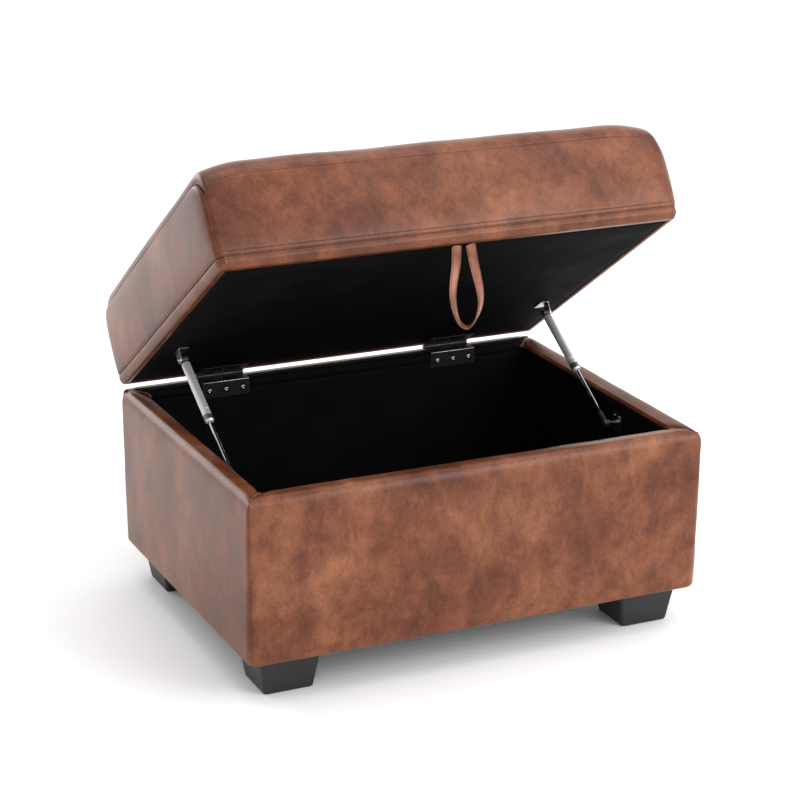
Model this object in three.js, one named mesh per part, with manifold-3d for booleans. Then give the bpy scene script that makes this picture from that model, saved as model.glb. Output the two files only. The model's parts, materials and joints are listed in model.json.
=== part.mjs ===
// Ottoman with storage: an upholstered box on four feet, with a padded lid on two hinges,
// held open by a gas strut on each side. Millimetres, +Z up, +X to the right along the front,
// +Y towards the back. It is modelled with the lid open, which is its rest pose.
import * as THREE from "three";
import { mergeVertices } from "three/addons/utils/BufferGeometryUtils.js";
import Module from "manifold-3d";

const wasm = await Module();
wasm.setup();

// ---------------------------------------------------------------- driving dimensions
const FRAME_SHIFT_Y = -41.3; // the origin lies under the middle of the open ottoman's box

const BODY_W = 800;
const BODY_D = 612;
const RIM_Z = 343; // top of the box's rim
const FOOT_H = 66;
const SIDE_WALL = 38; // rim width at the sides, leather to lining
const END_WALL = 43; // rim width at the front and back

const GAP = 0.3; // between neighbours that touch
const LEATHER = 1.5;
const FABRIC = 1.2; // lining and dust cover
const BOARD = 15;
const RIM_ROLL = 16; // radius of the rim's outer edge
const RIM_INNER_ROLL = 6;
const RIM_LIP = 10; // how far the leather turns down inside the box
const HEM = 16; // how far the leather turns in under the box
const BOARD_TOP = RIM_Z - LEATHER - 6;

const BLOCK_H = 22; // corner blocks between the dust cover and the floor board
const FLOOR_BOARD = 12;

const FOOT_BOTTOM_W = 84;
const FOOT_TOP_W = 105;
const FOOT_INSET = 36; // from the box's side to the foot's bottom edge
const FOOT_CORNER_R = 6;
const FOOT_EDGE = 2.5; // chamfer round the sole
const BOLT_R = 4;
const BOLT_LOW = 30;

const OPEN_DEG = 33.3; // the lid's angle at rest, where the struts are fully out
const HINGE_Y = 296.1; // hinge axis, 10 mm in from the box's back
const HINGE_Z = RIM_Z + 3.4;
const HINGE_X = 219; // middle of each hinge
const HINGE_W = 88;
const KNUCKLES = 5;
const BARREL_R = 2.8;
const PIN_R = 1.3;
const LEAF = 1.5;
const LID_LEAF_L = 40;
const BOX_LEAF_H = 27; // the part of the leaf that goes down inside the box

// The lid's own frame: its origin is on the hinge axis, and it is closed when not turned.
const LID_W = 797;
const LID_FRONT = -602;
const LID_BACK = 5;
const LID_BOTTOM = 3.2;
const BAND_TOP = 21; // seam between the band and the boxing
const LID_SEAM = 153; // seam between the boxing and the top panel
const LID_EDGE_R = 27; // roll of the top and of the four corners
const LID_TOP = LID_SEAM + LID_EDGE_R;
const LID_CROWN = 5;
const LID_BOARD_INSET = 4;
const LID_BOARD = 12;
const BAND_FLANGE = 16; // how far the band turns in under the lid

const STRUT_X = 339.5;
const STRUT_LID_Y = -182.3; // ball on the lid, in the lid's frame
const STRUT_LID_Z = -15;
const STRUT_BOX_Y = -92.3; // ball on the box
const STRUT_BOX_Z = 297.4;
const BALL_R = 4.4;
const STUD_R = 2.6;
const SOCKET_R = 6.5;
const SOCKET_W = 11;
const NECK_R = 4.2;
const TUBE_R = 7.5;
const TUBE_FROM = 9; // along the strut, from the ball on the lid
const TUBE_TO = 140.6;
const ROD_R = 3;
const ROD_INSIDE = 20; // length of rod inside the tube when it is fully out
const ROD_BORE = 96; // depth of the bore that takes the rod
const ROD_END_FITTING = 26;
const BRACKET = 1.5;
const OPEN_PIVOT_GAP = 0.5;

const LOOP_LID_Y = -592; // where the pull loop leaves the lid, in the lid's frame
const LOOP_LID_Z = 1.2;
const LOOP_X = 12;
const LOOP_W = 16;
const LOOP_T = 2.5;

// ---------------------------------------------------------------- colours and finishes
const leather = { color: 0x8a5f4b, roughness: 0.42, metalness: 0 };
const fabric = { color: 0x0d0c0e, roughness: 0.95, metalness: 0 };
const foam = { color: 0xe8e0c8, roughness: 0.95, metalness: 0 };
const wood = { color: 0xc39a66, roughness: 0.75, metalness: 0 };
const blackPlastic = { color: 0x2a2b2c, roughness: 0.5, metalness: 0 };
const blackSteel = { color: 0x141414, roughness: 0.35, metalness: 0.9 };
const zincSteel = { color: 0xa8aaac, roughness: 0.3, metalness: 1 };

// ---------------------------------------------------------------- scene graph helpers
const ottoman = new THREE.Group();
const lid = new THREE.Group();
ottoman.add(lid);
ottoman.position.y = FRAME_SHIFT_Y;
lid.position.set(0, HINGE_Y, HINGE_Z);
lid.rotation.x = -THREE.MathUtils.degToRad(OPEN_DEG);
lid.updateMatrix();

function add(group, name, finish, geometry, x = 0, y = 0, z = 0) {
  const mesh = new THREE.Mesh(geometry, new THREE.MeshStandardMaterial(finish));
  mesh.name = name;
  mesh.position.set(x, y, z);
  group.add(mesh);
  return mesh;
}

// ---------------------------------------------------------------- solids
function toSolid(geometry) {
  const bare = geometry.clone();
  bare.deleteAttribute("normal");
  bare.deleteAttribute("uv");
  const merged = mergeVertices(bare, 1e-3);
  return new wasm.Manifold(
    new wasm.Mesh({
      numProp: 3,
      vertProperties: merged.attributes.position.array,
      triVerts: new Uint32Array(merged.index.array),
    }),
  );
}

function toGeometry(solid) {
  const mesh = solid.getMesh();
  const geometry = new THREE.BufferGeometry();
  geometry.setAttribute("position", new THREE.BufferAttribute(mesh.vertProperties, 3));
  geometry.setIndex(new THREE.BufferAttribute(mesh.triVerts, 1));
  geometry.computeVertexNormals();
  return geometry;
}

const join = (first, ...others) => toGeometry(others.reduce((s, g) => s.add(toSolid(g)), toSolid(first)));
const cut = (first, ...others) => toGeometry(others.reduce((s, g) => s.subtract(toSolid(g)), toSolid(first)));
const common = (a, b) => toGeometry(toSolid(a).intersect(toSolid(b)));

// A box between two corners.
function block(x0, x1, y0, y1, z0, z1) {
  const geometry = new THREE.BoxGeometry(x1 - x0, y1 - y0, z1 - z0);
  return geometry.translate((x0 + x1) / 2, (y0 + y1) / 2, (z0 + z1) / 2);
}

// A cylinder along X, Y or Z between two places on its axis.
function rod(axis, radius, from, to, across = [0, 0], sides = 20) {
  const geometry = new THREE.CylinderGeometry(radius, radius, to - from, sides);
  const middle = (from + to) / 2;
  if (axis === "x") return geometry.rotateZ(Math.PI / 2).translate(middle, across[0], across[1]);
  if (axis === "y") return geometry.translate(across[0], middle, across[1]);
  return geometry.rotateX(Math.PI / 2).translate(across[0], across[1], middle);
}

function roundedRectangle(x0, x1, y0, y1, radius) {
  const shape = new THREE.Shape();
  shape.moveTo(x0 + radius, y0);
  shape.lineTo(x1 - radius, y0);
  shape.absarc(x1 - radius, y0 + radius, radius, -Math.PI / 2, 0);
  shape.lineTo(x1, y1 - radius);
  shape.absarc(x1 - radius, y1 - radius, radius, 0, Math.PI / 2);
  shape.lineTo(x0 + radius, y1);
  shape.absarc(x0 + radius, y1 - radius, radius, Math.PI / 2, Math.PI);
  shape.lineTo(x0, y0 + radius);
  shape.absarc(x0 + radius, y0 + radius, radius, Math.PI, 1.5 * Math.PI);
  return shape;
}

// A flat plate with this outline, between two heights.
function plate(outline, z0, z1, segments = 4) {
  const options = { depth: z1 - z0, bevelEnabled: false, curveSegments: segments };
  return new THREE.ExtrudeGeometry(outline, options).translate(0, 0, z0);
}

// ---------------------------------------------------------------- walls of the box
// A wall's section is drawn in (inward, up) from its outer face. It runs the whole length of the
// side and is mitred at both ends, so that the four walls meet on the diagonals of the rim.
function mitredWall(section, side) {
  const { half, out, wall, otherWall, turn } = side;
  const geometry = new THREE.ExtrudeGeometry(section, { depth: 1, bevelEnabled: false, curveSegments: 4 });
  const position = geometry.attributes.position;
  for (let i = 0; i < position.count; i++) {
    const inward = position.getX(i);
    const end = position.getZ(i) > 0.5 ? 1 : -1;
    const along = end * (half - (inward * otherWall) / wall - GAP / 2);
    position.setXYZ(i, along, -out + inward, position.getY(i));
  }
  geometry.computeVertexNormals();
  return geometry.rotateZ(turn);
}

const SIDES = {
  front: { half: BODY_W / 2, out: BODY_D / 2, wall: END_WALL, otherWall: SIDE_WALL, turn: 0 },
  right: { half: BODY_D / 2, out: BODY_W / 2, wall: SIDE_WALL, otherWall: END_WALL, turn: Math.PI / 2 },
  back: { half: BODY_W / 2, out: BODY_D / 2, wall: END_WALL, otherWall: SIDE_WALL, turn: Math.PI },
  left: { half: BODY_D / 2, out: BODY_W / 2, wall: SIDE_WALL, otherWall: END_WALL, turn: -Math.PI / 2 },
};

function coverSection(wall) {
  const section = new THREE.Shape();
  section.moveTo(HEM, FOOT_H);
  section.lineTo(HEM, FOOT_H + LEATHER);
  section.lineTo(LEATHER, FOOT_H + LEATHER);
  section.lineTo(LEATHER, RIM_Z - RIM_ROLL);
  section.absarc(RIM_ROLL, RIM_Z - RIM_ROLL, RIM_ROLL - LEATHER, Math.PI, Math.PI / 2, true);
  section.lineTo(wall - RIM_INNER_ROLL, RIM_Z - LEATHER);
  section.absarc(wall - RIM_INNER_ROLL, RIM_Z - RIM_INNER_ROLL, RIM_INNER_ROLL - LEATHER, Math.PI / 2, 0, true);
  section.lineTo(wall - LEATHER, RIM_Z - RIM_LIP);
  section.lineTo(wall, RIM_Z - RIM_LIP);
  section.lineTo(wall, RIM_Z - RIM_INNER_ROLL);
  section.absarc(wall - RIM_INNER_ROLL, RIM_Z - RIM_INNER_ROLL, RIM_INNER_ROLL, 0, Math.PI / 2);
  section.lineTo(RIM_ROLL, RIM_Z);
  section.absarc(RIM_ROLL, RIM_Z - RIM_ROLL, RIM_ROLL, Math.PI / 2, Math.PI);
  section.lineTo(0, FOOT_H);
  return section;
}

const foamThickness = (wall) => wall - 2 * LEATHER - BOARD - 3 * GAP;

function foamSection(wall) {
  const outer = LEATHER + GAP;
  const inner = outer + foamThickness(wall);
  const radius = RIM_ROLL - outer;
  const section = new THREE.Shape();
  section.moveTo(outer, FOOT_H + outer);
  section.lineTo(outer, RIM_Z - RIM_ROLL);
  section.absarc(RIM_ROLL, RIM_Z - RIM_ROLL, radius, Math.PI, Math.PI / 2, true);
  section.lineTo(inner, RIM_Z - outer);
  section.lineTo(inner, FOOT_H + outer);
  return section;
}

for (const [name, side] of Object.entries(SIDES)) {
  add(ottoman, `${name}_cover`, leather, mitredWall(coverSection(side.wall), side));
  add(ottoman, `${name}_foam`, foam, mitredWall(foamSection(side.wall), side));
}

const liningX = BODY_W / 2 - SIDE_WALL; // inner faces of the lining
const liningY = BODY_D / 2 - END_WALL;
const boardX = liningX + LEATHER + GAP; // inner faces of the boards
const boardY = liningY + LEATHER + GAP;
const boardBottom = FOOT_H + LEATHER + GAP;

add(ottoman, "front_board", wood, block(-boardX - BOARD, boardX + BOARD, -boardY - BOARD, -boardY, boardBottom, BOARD_TOP));
add(ottoman, "back_board", wood, block(-boardX - BOARD, boardX + BOARD, boardY, boardY + BOARD, boardBottom, BOARD_TOP));
add(ottoman, "left_board", wood, block(-boardX - BOARD, -boardX, -boardY + GAP, boardY - GAP, boardBottom, BOARD_TOP));
add(ottoman, "right_board", wood, block(boardX, boardX + BOARD, -boardY + GAP, boardY - GAP, boardBottom, BOARD_TOP));

// ---------------------------------------------------------------- floor, blocks and feet
const dustTop = FOOT_H + FABRIC;
const blockTop = boardBottom + BLOCK_H;
const floorBottom = blockTop + GAP;
const floorTop = floorBottom + FLOOR_BOARD;
const liningFloorTop = floorTop + GAP + FABRIC;
const footX = BODY_W / 2 - FOOT_INSET - FOOT_BOTTOM_W / 2;
const footY = BODY_D / 2 - FOOT_INSET - FOOT_BOTTOM_W / 2;
const CORNERS = { front_left: [-1, -1], front_right: [1, -1], back_left: [-1, 1], back_right: [1, 1] };
const corners = Object.entries(CORNERS).map(([name, [sx, sy]]) => [name, sx * footX, sy * footY]);
const boltTop = blockTop - 2;
const blockX = boardX - GAP - footX; // half the size of a corner block, which fits between the boards
const blockY = boardY - GAP - footY;

// A rounded square that widens from the sole to the top, with a chamfer round the sole.
function footGeometry() {
  const half = FOOT_TOP_W / 2;
  const top = FOOT_H - GAP;
  const outline = roundedRectangle(-half, half, -half, half, FOOT_CORNER_R);
  const heights = [0, FOOT_EDGE, top];
  const geometry = new THREE.ExtrudeGeometry(outline, { depth: 2, steps: 2, bevelEnabled: false, curveSegments: 3 });
  const position = geometry.attributes.position;
  for (let i = 0; i < position.count; i++) {
    const level = Math.round(position.getZ(i));
    const z = heights[level];
    const halfHere = THREE.MathUtils.lerp(FOOT_BOTTOM_W, FOOT_TOP_W, z / top) / 2 - (level === 0 ? FOOT_EDGE : 0);
    const scale = halfHere / half;
    position.setXYZ(i, position.getX(i) * scale, position.getY(i) * scale, z);
  }
  geometry.computeVertexNormals();
  return geometry;
}

const boltHole = () => rod("z", BOLT_R + GAP, BOLT_LOW - GAP, boltTop + GAP);
for (const [name, x, y] of corners) {
  add(ottoman, `${name}_foot`, blackPlastic, cut(footGeometry(), boltHole()), x, y);
  add(ottoman, `${name}_foot_bolt`, zincSteel, rod("z", BOLT_R, BOLT_LOW, boltTop), x, y);
  const cornerBlock = block(-blockX, blockX, -blockY, blockY, boardBottom, blockTop);
  add(ottoman, `${name}_corner_block`, wood, cut(cornerBlock, boltHole()), x, y);
}

const dustX = BODY_W / 2 - HEM - GAP;
const dustY = BODY_D / 2 - HEM - GAP;
const boltHolesAt = corners.map(([, x, y]) => boltHole().translate(x, y, 0));
add(ottoman, "dust_cover", fabric, cut(block(-dustX, dustX, -dustY, dustY, FOOT_H, dustTop), ...boltHolesAt));
add(ottoman, "floor_board", wood, block(-boardX + GAP, boardX - GAP, -boardY + GAP, boardY - GAP, floorBottom, floorTop));

// ---------------------------------------------------------------- lining
const liningTop = RIM_Z - RIM_LIP - GAP;
const floorHalfX = liningX + FABRIC;
const floorHalfY = liningY + FABRIC;
add(ottoman, "floor_lining", fabric, block(-floorHalfX, floorHalfX, -floorHalfY, floorHalfY, floorTop + GAP, liningFloorTop));
for (const [name, sign] of [["left", -1], ["right", 1]]) {
  const at = [sign * liningX, sign * floorHalfX].sort((a, b) => a - b);
  const ends = liningY - GAP;
  add(ottoman, `${name}_lining`, fabric, block(...at, -ends, ends, liningFloorTop + GAP, liningTop));
}
for (const [name, sign] of [["front", -1], ["back", 1]]) {
  const at = [sign * liningY, sign * floorHalfY].sort((a, b) => a - b);
  add(ottoman, `${name}_lining`, fabric, block(-liningX, liningX, ...at, liningFloorTop + GAP, liningTop));
}

// ---------------------------------------------------------------- hinges
// Knuckle number i of a hinge; the box's leaf has the even ones and the lid's leaf the odd ones.
function knuckleSpan(i) {
  const width = HINGE_W / KNUCKLES;
  const start = -HINGE_W / 2 + i * width;
  return [start + GAP / 2, start + width - GAP / 2];
}

// A leaf lies level beside the barrel; reach is how far its far edge is from the hinge axis.
function hingeLeaf(z0, reach, parity, extra) {
  const clear = BARREL_R + GAP + 0.2;
  const pieces = [block(-HINGE_W / 2, HINGE_W / 2, -reach, -clear, z0, z0 + LEAF), ...extra];
  for (let i = 0; i < KNUCKLES; i++) {
    if (i % 2 !== parity) continue;
    const [from, to] = knuckleSpan(i);
    pieces.push(rod("x", BARREL_R, from, to, [0, 0], 16));
    pieces.push(block(from, to, -clear - 1, 0, z0, z0 + LEAF));
  }
  return cut(join(...pieces), rod("x", PIN_R + GAP, -HINGE_W, HINGE_W, [0, 0], 12));
}

const boxLeafReach = HINGE_Y - liningY + GAP + LEAF; // to the far face of the part inside the box
const boxLeafZ = -BARREL_R;
const boxLeafDrop = block(
  -HINGE_W / 2, HINGE_W / 2, -boxLeafReach, -boxLeafReach + LEAF, boxLeafZ - BOX_LEAF_H, boxLeafZ + LEAF,
);
for (const [name, sign] of [["left", -1], ["right", 1]]) {
  const x = sign * HINGE_X;
  const boxLeaf = hingeLeaf(boxLeafZ, boxLeafReach, 0, [boxLeafDrop]);
  add(ottoman, `${name}_hinge_box_leaf`, blackSteel, boxLeaf, x, HINGE_Y, HINGE_Z);
  add(ottoman, `${name}_hinge_pin`, zincSteel, rod("x", PIN_R, -HINGE_W / 2, HINGE_W / 2, [0, 0], 12), x, HINGE_Y, HINGE_Z);
  add(lid, `${name}_hinge_lid_leaf`, blackSteel, hingeLeaf(BARREL_R - LEAF, LID_LEAF_L, 1, []), x);
}

// ---------------------------------------------------------------- lid
// Stations along one side of a padded block: close together in the rolls, where they turn by
// equal angles, and evenly spaced between.
function stations(from, to, roundFrom, roundTo, between) {
  const steps = 3;
  const offsets = [];
  for (let k = steps; k >= 0; k--) offsets.push(LID_EDGE_R * (1 - Math.tan((k * Math.PI) / 4 / steps)));
  const low = roundFrom ? offsets.map((d) => from + d) : [from];
  const high = roundTo ? offsets.map((d) => to - d).reverse() : [to];
  const middle = [];
  for (let k = 1; k < between; k++) middle.push(THREE.MathUtils.lerp(low.at(-1), high[0], k / between));
  return [...low, ...middle, ...high];
}

// The lid's padded shape, drawn in by inset all round and on top: upright sides with rounded
// corners, a rolled top edge and a slightly crowned top. Its lower face is flat.
function paddedBlock(inset, z0) {
  const x1 = LID_W / 2 - inset;
  const y0 = LID_FRONT + inset;
  const y1 = LID_BACK - inset;
  const z1 = LID_TOP - inset;
  const radius = LID_EDGE_R - inset;
  const xs = stations(-x1, x1, true, true, 5);
  const ys = stations(y0, y1, true, true, 4);
  const zs = stations(z0, z1, false, true, 1);
  const counts = [xs.length - 1, ys.length - 1, zs.length - 1];
  const geometry = new THREE.BoxGeometry(...counts, ...counts);
  const position = geometry.attributes.position;
  const yMiddle = (y0 + y1) / 2;
  const point = new THREE.Vector3();
  const core = new THREE.Vector3();
  for (let i = 0; i < position.count; i++) {
    const index = [0, 1, 2].map((k) => Math.round(position.getComponent(i, k) + counts[k] / 2));
    point.set(xs[index[0]], ys[index[1]], zs[index[2]]);
    core.set(
      THREE.MathUtils.clamp(point.x, -x1 + radius, x1 - radius),
      THREE.MathUtils.clamp(point.y, y0 + radius, y1 - radius),
      Math.min(point.z, z1 - radius),
    );
    const out = point.clone().sub(core);
    const reach = Math.max(Math.abs(out.x), Math.abs(out.y), Math.abs(out.z));
    if (reach > 0) point.copy(core).addScaledVector(out, reach / out.length());
    const rise = Math.max(0, (point.z - (z1 - radius)) / radius);
    const across = 1 - (point.x / x1) ** 2;
    const along = 1 - ((point.y - yMiddle) / (y1 - yMiddle)) ** 2;
    position.setXYZ(i, point.x, point.y, point.z + LID_CROWN * rise * across * along);
  }
  geometry.computeVertexNormals();
  return geometry;
}

function lidOutline(inset) {
  const half = LID_W / 2 - inset;
  const radius = Math.max(LID_EDGE_R - inset, 8);
  return roundedRectangle(-half, half, LID_FRONT + inset, LID_BACK - inset, radius);
}

// The leather over the padding, cut into its panels: a top and four boxing panels.
function lidCovers() {
  const shell = cut(paddedBlock(0, BAND_TOP + GAP / 2), paddedBlock(LEATHER, BAND_TOP - 1));
  const far = LID_W;
  add(lid, "lid_top_panel", leather, common(shell, block(-far, far, -far, far, LID_SEAM + GAP / 2, far)));
  const boxing = common(shell, block(-far, far, -far, far, 0, LID_SEAM - GAP / 2));
  const halfX = LID_W / 2;
  const yMiddle = (LID_FRONT + LID_BACK) / 2;
  const halfY = (LID_BACK - LID_FRONT) / 2;
  for (const [name, turn, out, half] of [
    ["front", 0, halfY, halfX], ["right", 1, halfX, halfY], ["back", 2, halfY, halfX], ["left", 3, halfX, halfY],
  ]) {
    // a wedge from the middle of the lid to this side, with its edges on the corner seams
    const wedge = new THREE.Shape();
    const deep = Math.min(halfX, halfY) / 2;
    wedge.moveTo(-half + GAP / 2, -out);
    wedge.lineTo(-half - deep + GAP / 2, -out - deep);
    wedge.lineTo(half + deep - GAP / 2, -out - deep);
    wedge.lineTo(half - GAP / 2, -out);
    wedge.lineTo(half - deep - GAP / 2, -out + deep);
    wedge.lineTo(-half + deep + GAP / 2, -out + deep);
    const cutter = plate(wedge, 0, LID_TOP).rotateZ((turn * Math.PI) / 2).translate(0, yMiddle, 0);
    add(lid, `lid_${name}_boxing`, leather, common(boxing, cutter));
  }
}
lidCovers();

const bandWall = lidOutline(0);
bandWall.holes.push(lidOutline(LEATHER));
const bandFlange = lidOutline(0);
bandFlange.holes.push(lidOutline(BAND_FLANGE));
add(lid, "lid_band", leather, join(
  plate(bandWall, LID_BOTTOM, BAND_TOP - GAP / 2),
  plate(bandFlange, LID_BOTTOM, LID_BOTTOM + LEATHER),
));
const lidBoardZ = LID_BOTTOM + LEATHER + GAP;
const lidFoamZ = lidBoardZ + LID_BOARD + GAP;
add(lid, "lid_lining", fabric, plate(lidOutline(BAND_FLANGE + GAP), LID_BOTTOM, LID_BOTTOM + FABRIC));
add(lid, "lid_board", wood, plate(lidOutline(LID_BOARD_INSET), lidBoardZ, lidBoardZ + LID_BOARD));
add(lid, "lid_foam", foam, paddedBlock(LEATHER + GAP, lidFoamZ));

// ---------------------------------------------------------------- gas struts
// Where the ball on the lid is when the lid is open, in the box's (y, z).
const lidBall = new THREE.Vector3(0, STRUT_LID_Y, STRUT_LID_Z).applyMatrix4(lid.matrix);
const boxBall = new THREE.Vector3(0, STRUT_BOX_Y, STRUT_BOX_Z);
const strutLength = lidBall.distanceTo(boxBall);
const strutDirection = boxBall.clone().sub(lidBall).normalize();

// A strut is drawn along +Z from the ball on the lid, then turned to point at the other ball.
function strutTube() {
  const groove = TUBE_TO - 25;
  const points = [
    [0, TUBE_FROM], [TUBE_R - 2, TUBE_FROM], [TUBE_R, TUBE_FROM + 2], [TUBE_R, groove - 1], [TUBE_R - 0.5, groove],
    [TUBE_R, groove + 1], [TUBE_R, TUBE_TO - 2], [TUBE_R - 1.5, TUBE_TO], [ROD_R + GAP, TUBE_TO],
    [ROD_R + GAP, TUBE_TO - ROD_BORE], [0, TUBE_TO - ROD_BORE],
  ];
  return turned(points, 20);
}

function turned(points, sides) {
  const profile = points.map(([r, s]) => new THREE.Vector2(r, s));
  return new THREE.LatheGeometry(profile, sides).rotateX(Math.PI / 2);
}

function socket(neckFrom, neckTo, neckRadius) {
  const housing = rod("x", SOCKET_R, -SOCKET_W / 2, SOCKET_W / 2, [0, 0], 20);
  return join(housing, rod("z", neckRadius, Math.min(neckFrom, neckTo), Math.max(neckFrom, neckTo), [0, 0], 16));
}

// The ball, on a stud that stands out of the web of the lid's bracket towards -X or +X.
const webX = SOCKET_W / 2 + 0.8;
function lidBracket(sign) {
  const base = block(-9, webX + BRACKET, -10, 20, LID_BOTTOM - GAP - BRACKET - STRUT_LID_Z, LID_BOTTOM - GAP - STRUT_LID_Z);
  const web = block(webX, webX + BRACKET, -7, 10, 0, LID_BOTTOM - GAP - STRUT_LID_Z);
  const round = rod("x", 7, webX, webX + BRACKET, [0, 0], 20);
  const stud = rod("x", STUD_R, 0, webX + BRACKET + 3, [0, 0], 12);
  const ball = new THREE.SphereGeometry(BALL_R, 16, 10);
  return mirrorTo(sign, join(base, web, round, stud, ball));
}

function boxBracket(sign) {
  const wallX = liningX - GAP - STRUT_X;
  const foot = block(wallX - BRACKET, wallX, -13, 13, -17, 15);
  const stud = rod("x", STUD_R, SOCKET_W / 2 + OPEN_PIVOT_GAP, wallX, [0, 0], 12);
  const collar = rod("x", STUD_R + 2, wallX - BRACKET - 3, wallX, [0, 0], 12);
  return mirrorTo(sign, join(foot, stud, collar));
}

// Turns a piece drawn for the right-hand side into its mirror image for the left.
function mirrorTo(sign, geometry) {
  if (sign > 0) return geometry;
  const mirrored = geometry.clone().scale(-1, 1, 1);
  const index = mirrored.index.array;
  for (let i = 0; i < index.length; i += 3) [index[i + 1], index[i + 2]] = [index[i + 2], index[i + 1]];
  mirrored.computeVertexNormals();
  return mirrored;
}

for (const [name, sign] of [["left", -1], ["right", 1]]) {
  const strut = new THREE.Group();
  strut.position.set(sign * STRUT_X, lidBall.y, lidBall.z);
  strut.quaternion.setFromUnitVectors(new THREE.Vector3(0, 0, 1), strutDirection);
  ottoman.add(strut);
  const hollow = [new THREE.SphereGeometry(BALL_R + GAP, 16, 10), rod("x", STUD_R + 0.8, 0, sign * SOCKET_W, [0, 0], 12)];
  if (sign < 0) hollow[1] = rod("x", STUD_R + 0.8, -SOCKET_W, 0, [0, 0], 12);
  add(strut, `${name}_strut_lid_socket`, blackSteel, cut(socket(0, TUBE_FROM - GAP, NECK_R), ...hollow));
  add(strut, `${name}_strut_tube`, zincSteel, strutTube());
  const fittingStart = strutLength - ROD_END_FITTING;
  add(strut, `${name}_strut_rod`, zincSteel, rod("z", ROD_R, TUBE_TO - ROD_INSIDE, fittingStart - GAP, [0, 0], 12));
  const rodSocket = socket(0, -ROD_END_FITTING, NECK_R);
  add(strut, `${name}_strut_box_socket`, blackSteel, rodSocket, 0, 0, strutLength);
  add(lid, `${name}_strut_lid_bracket`, zincSteel, lidBracket(sign), sign * STRUT_X, STRUT_LID_Y, STRUT_LID_Z);
  add(ottoman, `${name}_strut_box_bracket`, zincSteel, boxBracket(sign), sign * STRUT_X, STRUT_BOX_Y, STRUT_BOX_Z);
}

// ---------------------------------------------------------------- pull loop
// A flat strap that hangs straight down from under the lid's front edge. Both ends lie flat
// against the lid; in between it makes half a turn about its own length.
function pullLoop() {
  const route = [
    [-12, 0], [-14, -43], [-19, -88], [-11, -119], [9, -136], [27, -119], [32, -88], [22, -43], [12, 0],
  ];
  const curve = new THREE.CatmullRomCurve3(route.map(([x, z]) => new THREE.Vector3(x, 0, z)));
  const steps = 32;
  const geometry = new THREE.BoxGeometry(LOOP_T, LOOP_W, steps, 1, 1, steps);
  const position = geometry.attributes.position;
  const back = new THREE.Vector3(0, 1, 0);
  for (let i = 0; i < position.count; i++) {
    const t = position.getZ(i) / steps + 0.5;
    const tangent = curve.getTangentAt(t);
    const inward = tangent.clone().cross(back);
    const twist = (Math.PI / 2) * Math.sign(0.5 - t) * Math.abs(1 - 2 * t) ** 1.3;
    const width = back.clone().applyAxisAngle(tangent, twist);
    const thick = inward.applyAxisAngle(tangent, twist);
    const point = curve.getPointAt(t);
    point.addScaledVector(thick, -position.getX(i)).addScaledVector(width, position.getY(i));
    position.setXYZ(i, point.x, point.y, Math.min(point.z, 0));
  }
  geometry.computeVertexNormals();
  return geometry;
}
const loopTop = new THREE.Vector3(LOOP_X, LOOP_LID_Y, LOOP_LID_Z).applyMatrix4(lid.matrix);
add(ottoman, "pull_loop", leather, pullLoop(), loopTop.x, loopTop.y, loopTop.z);

export default ottoman;
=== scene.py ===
import json
import math

import bpy
from mathutils import Matrix, Vector, noise


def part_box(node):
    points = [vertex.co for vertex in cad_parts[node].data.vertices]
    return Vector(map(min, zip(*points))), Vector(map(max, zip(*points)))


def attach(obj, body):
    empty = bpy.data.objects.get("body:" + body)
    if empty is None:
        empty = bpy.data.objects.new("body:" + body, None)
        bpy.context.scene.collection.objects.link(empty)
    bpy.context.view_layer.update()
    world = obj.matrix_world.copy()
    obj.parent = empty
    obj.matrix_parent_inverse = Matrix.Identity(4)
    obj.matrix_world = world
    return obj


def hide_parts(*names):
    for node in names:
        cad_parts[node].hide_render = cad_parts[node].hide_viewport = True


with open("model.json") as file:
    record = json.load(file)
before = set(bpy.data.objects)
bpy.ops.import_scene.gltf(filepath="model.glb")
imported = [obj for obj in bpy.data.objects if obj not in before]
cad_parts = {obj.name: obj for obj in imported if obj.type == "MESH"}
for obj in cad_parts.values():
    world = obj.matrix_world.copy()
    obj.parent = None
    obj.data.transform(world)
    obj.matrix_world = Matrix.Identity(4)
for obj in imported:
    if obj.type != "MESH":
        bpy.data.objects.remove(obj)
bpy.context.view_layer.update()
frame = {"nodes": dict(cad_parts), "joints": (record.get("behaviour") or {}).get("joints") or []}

# ---- sizes, from the frame
MM = 0.001
joints = {joint["name"]: joint for joint in frame["joints"]}
hinge = joints["lid_hinge"]
HINGE = Vector(hinge["pos_m"])
OPEN_ANGLE = math.radians(hinge["range_deg"][1])
LID_PLACE = Matrix.Translation(HINGE) @ Matrix.Rotation(-OPEN_ANGLE, 4, "X")
BOX_PLACE = Matrix.Identity(4)

front_low, front_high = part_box("front_cover")
back_low, back_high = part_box("back_cover")
left_low, left_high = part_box("left_cover")
HALF_W = -left_low.x
BOX_MID_Y = (front_low.y + back_high.y) / 2
HALF_D = (back_high.y - front_low.y) / 2
BOX_BOTTOM = front_low.z
RIM = front_high.z
SIDE_WALL = left_high.x - left_low.x
END_WALL = front_high.y - front_low.y
FLOOR_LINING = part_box("floor_lining")[1].z
LEATHER = 1.3 * MM
FABRIC = 0.9 * MM

TUBE_RADIUS = 7.5 * MM
TUBE_END = 140.6 * MM  # from a strut's pivot on the lid to the end of its tube

# The lid in its own frame, which has its origin on the hinge axis.
LID_HALF_W = 399.5 * MM
LID_FRONT = -602 * MM
LID_BACK = 4 * MM
LID_BOTTOM = 3.2 * MM
BAND_TOP = 21 * MM
LID_TOP = 184.5 * MM
FRONT_ROLL = 45 * MM
BACK_ROLL = 32 * MM
TOP_SEAM = 152 * MM
END_ROLL = 14 * MM  # the top panel rolls over its ends before their seams
END_ROLL_DROP = 16 * MM
LID_CORNER = 10 * MM  # radius of the lid's upright corners
END_DROOP = 17 * MM  # how far the cushion's top falls to the seams at its two ends


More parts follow.
